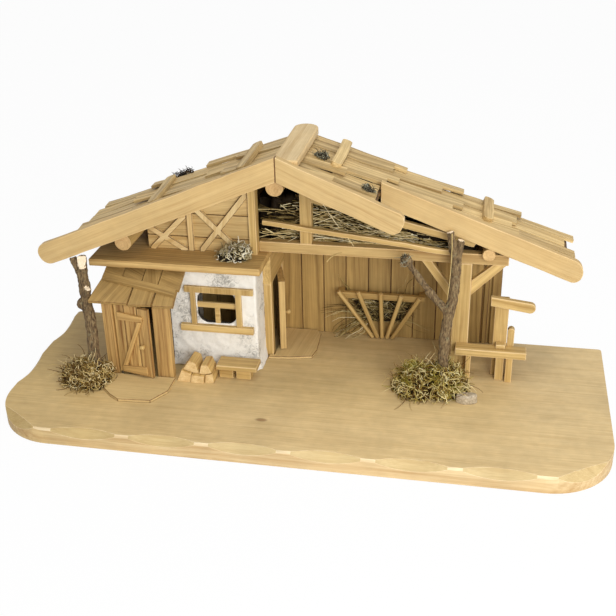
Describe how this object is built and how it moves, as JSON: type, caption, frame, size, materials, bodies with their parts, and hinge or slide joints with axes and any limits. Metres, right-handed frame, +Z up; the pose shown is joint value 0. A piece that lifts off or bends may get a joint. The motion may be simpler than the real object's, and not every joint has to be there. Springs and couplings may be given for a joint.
{
  "type": "wooden nativity stable",
  "caption": "Wooden nativity stable on a carved base: plastered house with lean-to shed and opening doors, open bay with hay rack, straw loft, shingled gable roof, twig trees and moss.",
  "frame": {"origin": "middle of the underside of the base board", "axes": "+X along the base to the stable's right as seen from the front, +Y to the back, +Z up"},
  "size_m": [0.7, 0.282, 0.3044],
  "materials": {
    "base_wood": "matte",
    "frame_wood": "matte",
    "wall_wood": "matte",
    "door_wood": "matte",
    "roof_wood": "matte",
    "plaster": "matte",
    "bark": "matte",
    "moss": "matte",
    "lichen": "matte",
    "straw": "matte",
    "pebble_stone": "matte",
    "pin_steel": "satin"
  },
  "bodies": {
    "stable": {"base_board": "base_wood", "door_steps": "base_wood", "door_jambs": "frame_wood", "door_lintel": "frame_wood", "window_casing": "frame_wood", "window_sill": "frame_wood", "window_bars": "frame_wood", "shed_posts": "frame_wood", "shed_lintel": "frame_wood", "shelf_board": "frame_wood", "gable_boards": "frame_wood", "gable_strips": "frame_wood", "upper_posts": "frame_wood", "loft_beam": "frame_wood", "loft_floor": "frame_wood", "loft_rail": "frame_wood", "loft_rafter": "frame_wood", "ridge_purlin": "frame_wood", "side_purlins": "frame_wood", "right_post": "frame_wood", "right_braces": "frame_wood", "fence_rails": "frame_wood", "fence_posts": "frame_wood", "rack_rail": "frame_wood", "rack_sticks": "frame_wood", "bench_seat": "frame_wood", "bench_legs": "frame_wood", "firewood": "frame_wood", "rear_wall_planks": "wall_wood", "shed_left_wall": "wall_wood", "shed_roof_lower": "roof_wood", "shed_roof_upper": "roof_wood", "shed_roof_lath": "roof_wood", "left_roof_boards": "roof_wood", "right_roof_boards": "roof_wood", "left_shingles": "roof_wood", "right_shingles": "roof_wood", "ridge_cap": "roof_wood", "roof_weights": "roof_wood", "left_barge_board": "roof_wood", "right_front_barge_board": "roof_wood", "right_rear_barge_board": "roof_wood", "house_front_wall": "plaster", "house_side_wall": "plaster", "house_left_wall": "plaster", "left_tree": "bark", "right_tree": "bark", "left_moss": "moss", "right_moss": "moss", "roof_tufts": "moss", "shelf_moss": "lichen", "loft_straw": "straw", "rack_hay": "straw", "pebble": "pebble_stone", "hinge_pins": "pin_steel"},
    "shed_door": {"shed_door_planks": "door_wood", "shed_door_braces": "door_wood", "shed_door_knob": "door_wood"},
    "house_door": {"house_door_leaf": "door_wood", "house_door_knob": "door_wood"}
  },
  "joints": [
    {"name": "shed_door_hinge", "type": "hinge", "parent": "stable", "child": "shed_door", "pos_m": [-0.2299, -0.0095, 0.07], "axis": [0, 0, -1], "range_deg": [-14, 56]},
    {"name": "house_door_hinge", "type": "hinge", "parent": "stable", "child": "house_door", "pos_m": [-0.059, 0.1194, 0.07], "axis": [0, 0, 1], "range_deg": [-17, 73]}
  ]
}
